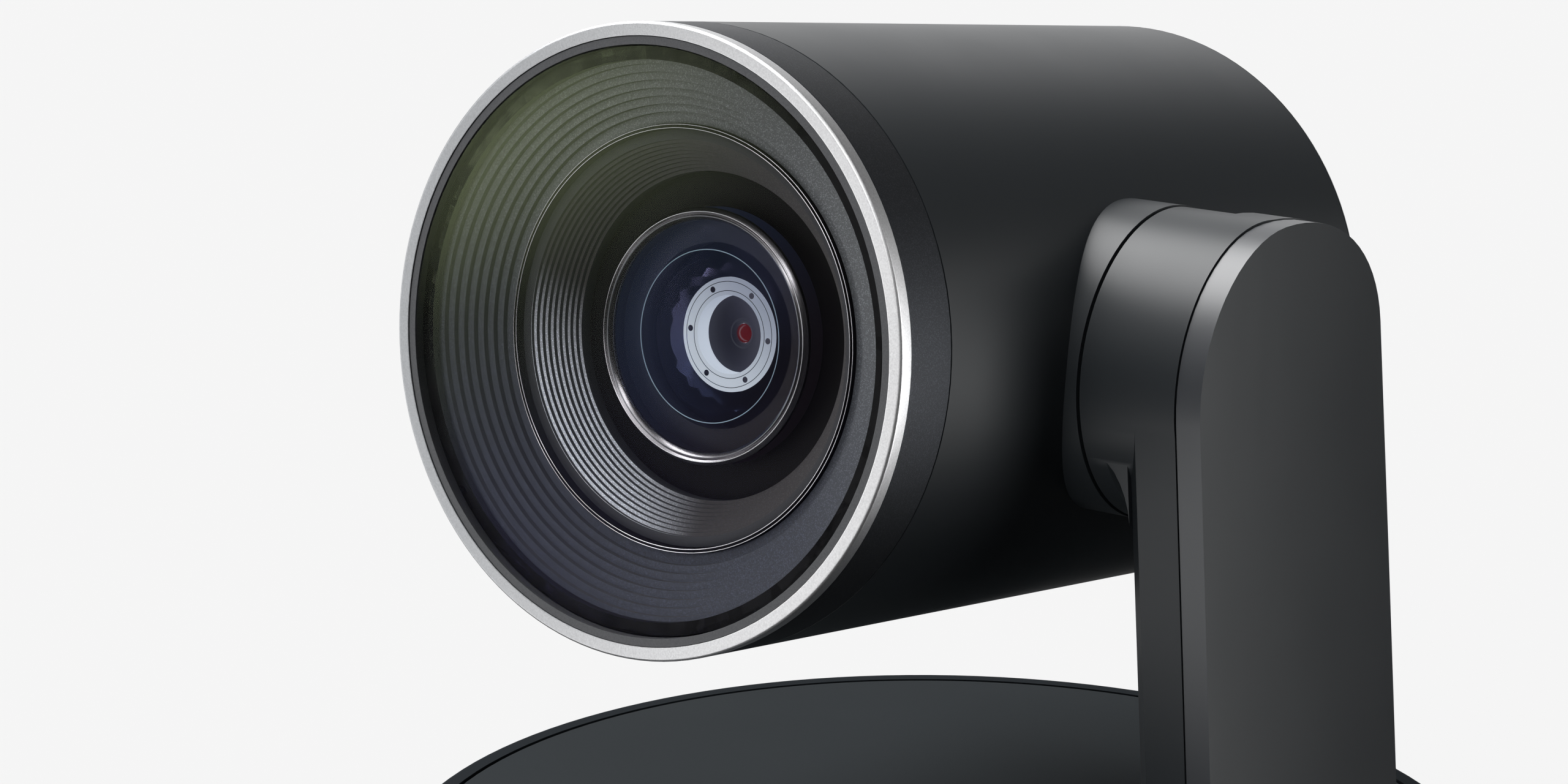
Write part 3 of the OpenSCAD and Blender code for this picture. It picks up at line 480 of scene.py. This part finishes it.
# ---- Finishes, one for each material slot ----
FINISHES = {
    "charcoal_shell": finish("satin charcoal shell", (0.022, 0.026, 0.030), 0.40, grain=5200, depth=0.004,
                             speckle=0.12, drift=0.16),
    "bezel_satin": finish("textured bezel paint", (0.044, 0.047, 0.053), 0.5, metallic=0.8, grain=6500,
                          depth=0.03, speckle=0.5, flakes=(0.2, 0.5, 9000)),
    # Painted highlight: the silver turns much lighter towards the right of the ring.
    "silver_ring": finish("bead blasted silver with painted highlight", (0.45, 0.46, 0.475), 0.46, metallic=1.0, grain=4300,
                          depth=0.02, speckle=0.45, drift=0.08, handling=0.04,
                          lean=((0.90, 0.90, 0.91), (1, 0, -0.1), 0, 36)),
    "frame_grey": finish("grey window frame", (0.10, 0.102, 0.108), 0.5, metallic=0.6, grain=4300,
                         depth=0.03, speckle=0.6),
    # Painted reflection: the window's tint runs from violet low down to olive at the top, and its haze
    # grows towards the top; the lens glass drifts from blue to violet with a faint haze.
    "coated_glass": coated_glass("coated front window", (0.42, 0.42, 0.9), (0.74, 0.86, 0.50), 0.10,
                                 (-30, 26), painted_reflection_haze=(0.002, 0.048, 8, 40)),
    "lens_glass": coated_glass("coated lens glass", (0.30, 0.42, 0.95), (0.5, 0.45, 0.8), 0.04, (-20, 20),
                               painted_reflection_haze=(0.002, 0.005, -10, 10)),
    "gasket_black": finish("black gasket", (0.0025, 0.0025, 0.003), 0.7, grain=5000, depth=0.01,
                           specular=0.15),
    # Painted light and shade: the sprayed baffle is lighter towards the top of the head and darker towards
    # the bottom.
    "baffle_black": finish("sprayed baffle", (0.025, 0.029, 0.044), 0.62, grain=6500, depth=0.04,
                           speckle=0.8,
                           flakes=(0.2, 0.9, 9000), lean=((0.10, 0.106, 0.112), (0.2, 0, 0.95), 4, 26)),
    "lens_black": finish("anodised lens black", (0.003, 0.0022, 0.003), 0.5, grain=5000, depth=0.006,
                         specular=0.12),
    "lens_trim": finish("polished lens trim", (0.30, 0.29, 0.31), 0.22, metallic=1.0, grain=6000,
                        depth=0.003, speckle=0.1),
    # Painted light and shade: the pale barrel glows, and its colour darkens towards the upper right.
    "lens_pale": finish("pale lens barrel with painted glow", (0.56, 0.62, 0.70), 0.42, grain=5200, depth=0.01, speckle=0.12,
                        lean=((0.26, 0.29, 0.37), (0.5, 0, 0.86), 0, 8), painted_glow=0.85),
    "table_top": finish("turntable top", (0.024, 0.028, 0.031), 0.8, grain=4600, depth=0.01, speckle=0.2,
                        specular=0.05),
    "base_plastic": finish("base shell", (0.017, 0.020, 0.023), 0.85, grain=4600, depth=0.01, speckle=0.2,
                           specular=0.02),
    "floor_plastic": finish("base floor", (0.05, 0.052, 0.055), 0.6, grain=3000, depth=0.03, speckle=0.3),
    "foot_rubber": finish("foot rubber", (0.012, 0.012, 0.012), 0.85, grain=2600, depth=0.05, speckle=0.4,
                          specular=0.3),
    "brass_insert": finish("turned brass", (0.62, 0.44, 0.17), 0.3, metallic=1.0, grain=5000, depth=0.01),
    "steel": finish("ground steel", (0.56, 0.57, 0.58), 0.28, metallic=1.0, grain=6000, depth=0.004),
    "screw_steel": finish("blackened screws", (0.11, 0.11, 0.115), 0.35, metallic=1.0, grain=6000,
                          depth=0.004),
    "cast_frame": finish("cast alloy", (0.42, 0.43, 0.44), 0.5, metallic=1.0, grain=2200, depth=0.04),
    "board_green": finish("solder mask", (0.012, 0.10, 0.045), 0.35, grain=2500, depth=0.008, coat=0.4),
    "port_metal": finish("plated socket shell", (0.62, 0.62, 0.60), 0.3, metallic=1.0, grain=5000,
                         depth=0.004),
    "panel_black": finish("port panel black", (0.018, 0.018, 0.019), 0.55, grain=3200, depth=0.03,
                          speckle=0.3),
    "signal_smoke": finish("smoked signal window", (0.012, 0.006, 0.008), 0.12, grain=5000, depth=0.001,
                           coat=0.6, coat_roughness=0.05),
    "button_grey": finish("button grey", (0.11, 0.115, 0.12), 0.5, grain=3500, depth=0.02),
    "motor_steel": finish("motor can", (0.5, 0.51, 0.52), 0.34, metallic=1.0, grain=5000, depth=0.006),
    "gear_resin": finish("gear resin", (0.62, 0.58, 0.48), 0.45, grain=3000, depth=0.01),
    "bush_polymer": finish("bush polymer", (0.03, 0.03, 0.032), 0.4, grain=3000, depth=0.01),
    "carriage_black": finish("carriage moulding", (0.03, 0.031, 0.033), 0.5, grain=3000, depth=0.02),
}
for name, node in nodes.items():
    for holder in node.material_slots:
        holder.material = FINISHES[slot_of[name]]

# Painted light and shade: the lens cell glows dark navy and passes into near black towards the lower right.
CELL = finish("lens cell with painted glow and shade", (0.0075, 0.0105, 0.024), 0.5, grain=5000, depth=0.004, specular=0.2,
              lean=((0.006, 0.0045, 0.006), (0.8, 0, -0.6), 2, 14), painted_glow=0.6)
for holder in nodes["lens_cell"].material_slots:
    holder.material = CELL


# ---- Casings with eased edges ----
CHAMFER_X = -0.707
CHAMFER_SLACK = 0.12
ARM_WAIST = 12
ARM_FOOT_TOP = 70


def inner_rim(first, second):
    """True where the arm's inner chamfer meets its outline or its inner face."""
    lean = min((first, second), key=lambda face: abs(face.normal.x - CHAMFER_X))
    if abs(lean.normal.x - CHAMFER_X) >= CHAMFER_SLACK:
        return False
    return abs(lean.center.y) > ARM_WAIST * MM and first.center.z > ARM_FOOT_TOP * MM


ROLLS = {"arm_shell": (0.9, 4, inner_rim)}
EASED = [("head_shell", 0.12), ("front_bezel", 0.15), ("front_ring", 0.12), ("window_frame", 0.08),
         ("arm_shell", 0.12), ("arm_cover", 0.3), ("turntable", 0.1), ("base_shell", 0.15)]
for node, rounding in EASED:
    slot = slot_of[node]
    dress(rounded_copy(node, rounding, roll=ROLLS.get(node)), nodes[node]["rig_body"],
          FINISHES[slot], [node])


# Painted sheen: the cover's faces that don't look sideways get a lighter, shinier copy of the shell finish,
# standing in for the light they catch.
COVER_BAND_PAINTED_SHEEN = finish("arm cover edge band painted sheen", (0.042, 0.046, 0.053), 0.38, grain=5200, depth=0.004,
                    speckle=0.12, specular=1.0)
cover = bpy.data.objects["arm_cover_finished"]
cover.data.materials.append(COVER_BAND_PAINTED_SHEEN)
SIDEWAYS = 0.75
for face in cover.data.polygons:
    if abs(face.normal.x) < SIDEWAYS:
        face.material_index = 1


# ---- Light baffles and the lens, turned with fine edges ----
HEAD_BODY = nodes["outer_baffle"]["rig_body"]
BAFFLE = FINISHES["baffle_black"]
# Painted shade: a darker copy of the baffle finish for the risers, which lie in shadow.
RISER_PAINTED_SHADE = finish("baffle riser painted shade", (0.022, 0.023, 0.028), 0.7, grain=3600, depth=0.03, speckle=0.4)
EDGE = finish("bright turned edge", (0.72, 0.72, 0.75), 0.2, metallic=1.0, grain=6000, depth=0.002,
              speckle=0.3)
DIM_EDGE = finish("dull turned edge", (0.30, 0.30, 0.32), 0.3, metallic=1.0, grain=5200, depth=0.004,
                  speckle=0.5)

# Painted light: the fine baffle turns pale blue-grey towards the lower left, where light falls on it.
FINE_BAFFLE = finish("fine sprayed baffle with painted light", (0.022, 0.019, 0.021), 0.6, grain=6500, depth=0.03, speckle=0.7,
                     flakes=(0.2, 0.7, 9000), lean=((0.74, 0.77, 0.86), (-0.75, 0, -0.66), 19, 6))
BLUE_EDGE = finish("ground glass edge", (0.34, 0.46, 0.58), 0.35, grain=6000, depth=0.003, speckle=0.3)
# Painted light: the iris leaves, and the barrel screws that share their finish, glow faintly and turn
# lighter towards the right.
IRIS = finish("iris leaves with painted glow", (0.013, 0.013, 0.022), 0.45, grain=5000, depth=0.006,
              lean=((0.055, 0.055, 0.075), (1, 0, 0.2), 1, 4), painted_glow=0.8)
# Painted light: the red inner coating glows.
PUPIL = finish("inner lens red coating with painted glow", (0.14, 0.012, 0.016), 0.12, grain=6000, depth=0.001, coat=1.0,
               coat_roughness=0.04, painted_glow=0.5)

wide_steps = stairs(35.7, -54.2, 1.0, 0.79, 7)
outer = turned("outer_baffle_finished",
               [(36.9, -54.7), (35.7, -54.7), (35.7, -54.2), *wide_steps, (27.25, -48.67), (27.25, -46.87),
                (28.25, -46.87), (36.6, -52.2), (36.9, -52.2)], HEAD, rounding=0.07, steps=192)
dress(outer, HEAD_BODY, BAFFLE, ["outer_baffle"])
darken_risers(outer, RISER_PAINTED_SHADE)

fine_steps = stairs(25.15, -47.47, 0.45, 0.6, 9)
inner = turned("inner_baffle_finished",
               [(26.5, -47.97), (25.15, -47.97), (25.15, -47.47), *fine_steps, (21.1, -40.87),
                (22.1, -40.87), (26.5, -46.07)], HEAD, rounding=0.05, steps=192)
dress(inner, HEAD_BODY, FINE_BAFFLE, ["inner_baffle"])
darken_risers(inner, RISER_PAINTED_SHADE)
# The flat front of the fine baffle, outside its first step, is as dark as the risers
FLAT_FROM = 25.2
for face in inner.data.polygons:
    spot = HEAD.inverted() @ face.center
    if math.hypot(spot.x, spot.z) > FLAT_FROM * MM:
        face.material_index = 1

lip = turned("baffle_lip_finished",
             [(26.55, -49.1), (26.62, -49.27), (26.8, -49.27), (26.86, -49.12), (26.98, -49.12),
              (27.04, -49.27),
              (27.2, -49.2), (27.2, -46.77), (30.2, -46.77), (30.2, -45.77), (26.55, -45.77)], HEAD,
              rounding=0.03)
dress(lip, HEAD_BODY, FINISHES["lens_black"], ["baffle_lip"])
for name, radius, depth, thick, look in [
        ("lip_outer_edge", 27.12, -49.24, 0.06, EDGE), ("lip_inner_edge", 26.68, -49.26, 0.07, EDGE),
        ("lip_back_edge", 26.56, -46.4, 0.05, DIM_EDGE)]:
    dress(turned(name, bead(radius, depth, thick), HEAD, smooth=60), HEAD_BODY, look)

retainer = turned("front_retainer_finished",
                  [(14.9, -43.8), (15.45, -44.35), (15.65, -44.1), (15.95, -44.4), (16.5, -43.85),
                   (16.5, -43.3), (14.9, -43.3)], HEAD, rounding=0.05)
dress(retainer, HEAD_BODY, FINISHES["lens_trim"], ["front_retainer"])
for name, radius, depth, thick, look in [
        ("rim_front_edge", 15.42, -44.3, 0.07, DIM_EDGE), ("rim_outer_edge", 16.0, -44.34, 0.07, EDGE)]:
    dress(turned(name, bead(radius, depth, thick), HEAD, smooth=60), HEAD_BODY, look)

dress(turned("front_element_edge", bead(11.1, -42.8, 0.065), HEAD, smooth=60), HEAD_BODY,
      BLUE_EDGE)
for name, radius in (("barrel_groove_outer", 6.85), ("barrel_groove_inner", 5.65)):
    dress(turned(name, bead(radius, -38.58, 0.05), HEAD, smooth=60), HEAD_BODY,
          FINISHES["lens_black"])
SCREW_HEAD = [(0, -38.66), (0.2, -38.66), (0.4, -38.6), (0.4, -38.4), (0, -38.4)]
SCREWS = 6
SCREW_RING = 6.25
heads = []
for index in range(SCREWS):
    about = Matrix.Rotation(math.tau * index / SCREWS, 4, "Y")
    spot = HEAD @ about @ Matrix.Translation((SCREW_RING * MM, 0, 0))
    heads.append(turned("barrel_screw_%d" % index, SCREW_HEAD, spot, steps=20))
only(*heads)
bpy.ops.object.join()
heads[0].name = "barrel_screws"
dress(heads[0], HEAD_BODY, IRIS)
iris = turned("iris", [(1.3, -35.5), (1.7, -35.75), (2.0, -35.6), (5.0, -36.4), (5.0, -35.4),
                       (1.3, -34.9)], HEAD,
              rounding=0.05, steps=96)
dress(iris, HEAD_BODY, IRIS)
pupil = turned("inner_pupil", [(0, -35.6), (0.5, -35.56), (0.9, -35.42), (1.25, -35.2), (1.25, -34.9),
                               (0, -34.9)],
               HEAD, steps=64)
dress(pupil, HEAD_BODY, PUPIL)


# ---- Camera, floor and light ----
AZIMUTH = math.radians(36.80)
DOWNWARD = math.radians(14.13)
CAMERA_SPOT = PIVOT + Vector((306.6, -436.3, 123.9)) * MM

lens_data = bpy.data.cameras.new("camera")
lens_data.lens = 92.3
lens_data.sensor_width = 36
lens_data.clip_start = 0.02
lens_data.clip_end = 30
camera = bpy.data.objects.new("camera", lens_data)
bpy.context.scene.collection.objects.link(camera)
forward = Vector((-math.sin(AZIMUTH) * math.cos(DOWNWARD), math.cos(AZIMUTH) * math.cos(DOWNWARD),
                  -math.sin(DOWNWARD)))
camera.location = CAMERA_SPOT
camera.rotation_mode = "QUATERNION"
camera.rotation_quaternion = forward.to_track_quat("-Z", "Y")
bpy.context.scene.camera = camera
bpy.context.scene.view_settings.view_transform = "Standard"

BACKDROP = 0.913
AMBIENT = 0.022
FLOOR_ALBEDO = (0.05, 0.05, 0.05, 1)
FLOOR_GLOW = 0.845


def studio():
    """Soft panels of light all round, and a plain pale backdrop behind everything.

    Each panel has its direction, the angles in degrees to its full and its faded edge, and a strength.
    """
    world = bpy.data.worlds.new("studio")
    world.use_nodes = True
    bpy.context.scene.world = world
    tree = world.node_tree
    back = tree.nodes["Background"]
    back.inputs["Color"].default_value = (1, 1, 1, 1)
    way = add(tree, "ShaderNodeTexCoord").outputs["Generated"]
    panels = [
        ((-0.58, 0.03, 0.81), 12, 34, 7.0),
        ((-0.57, 0.815, 0.09), 16, 37, 0.95),
        ((-0.05, 0.87, 0.49), 14, 40, 0.06),
        ((0.84, 0.485, -0.242), 6, 20, 5.5),
        ((0.60, 0.80, 0.05), 4, 13, 0.9),
        ((0.88, 0.45, 0.10), 8, 24, 2.0),
        ((-0.908, -0.404, -0.105), 22, 33, 1.8),
        ((-0.52, -0.62, -0.58), 5, 22, 1.0),
        ((0.15, -0.93, 0.33), 10, 20, 1.6),
        ((-0.05, -0.70, 0.71), 8, 26, 1.8),
        ((-0.08, -0.90, -0.42), 10, 26, 1.1),
        ((0.38, -0.58, 0.72), 5, 11, 4.5),
    ]
    total = AMBIENT
    for direction, inner, outer, strength in panels:
        facing = add(tree, "ShaderNodeVectorMath", operation="DOT_PRODUCT")
        facing.inputs[1].default_value = Vector(direction).normalized()
        tree.links.new(way, facing.inputs[0])
        soft = add(tree, "ShaderNodeMapRange", interpolation_type="SMOOTHSTEP")
        soft.inputs["From Min"].default_value = math.cos(math.radians(outer))
        soft.inputs["From Max"].default_value = math.cos(math.radians(inner))
        soft.inputs["To Max"].default_value = strength
        tree.links.new(facing.outputs["Value"], soft.inputs["Value"])
        total = math_node(tree, "ADD", soft.outputs["Result"], total)
    rays = add(tree, "ShaderNodeLightPath")
    seen = add(tree, "ShaderNodeMix", data_type="FLOAT")
    seen.inputs["B"].default_value = BACKDROP
    tree.links.new(rays.outputs["Is Camera Ray"], seen.inputs["Factor"])
    tree.links.new(total, seen.inputs["A"])
    tree.links.new(seen.outputs["Result"], back.inputs["Strength"])


def pale_floor():
    """A plain floor as pale as the backdrop, which takes the object's soft shadow."""
    bpy.ops.mesh.primitive_plane_add(size=30)
    floor = bpy.context.object
    floor.name = "floor"
    material = bpy.data.materials.new("pale floor")
    material.use_nodes = True
    shader = material.node_tree.nodes["Principled BSDF"]
    shader.inputs["Base Color"].default_value = FLOOR_ALBEDO
    shader.inputs["Roughness"].default_value = 1.0
    shader.inputs["Specular IOR Level"].default_value = 0.0
    shader.inputs["Emission Color"].default_value = (1, 1, 1, 1)
    shader.inputs["Emission Strength"].default_value = FLOOR_GLOW
    floor.data.materials.append(material)
    floor.visible_glossy = False
    floor.visible_diffuse = False


studio()
pale_floor()
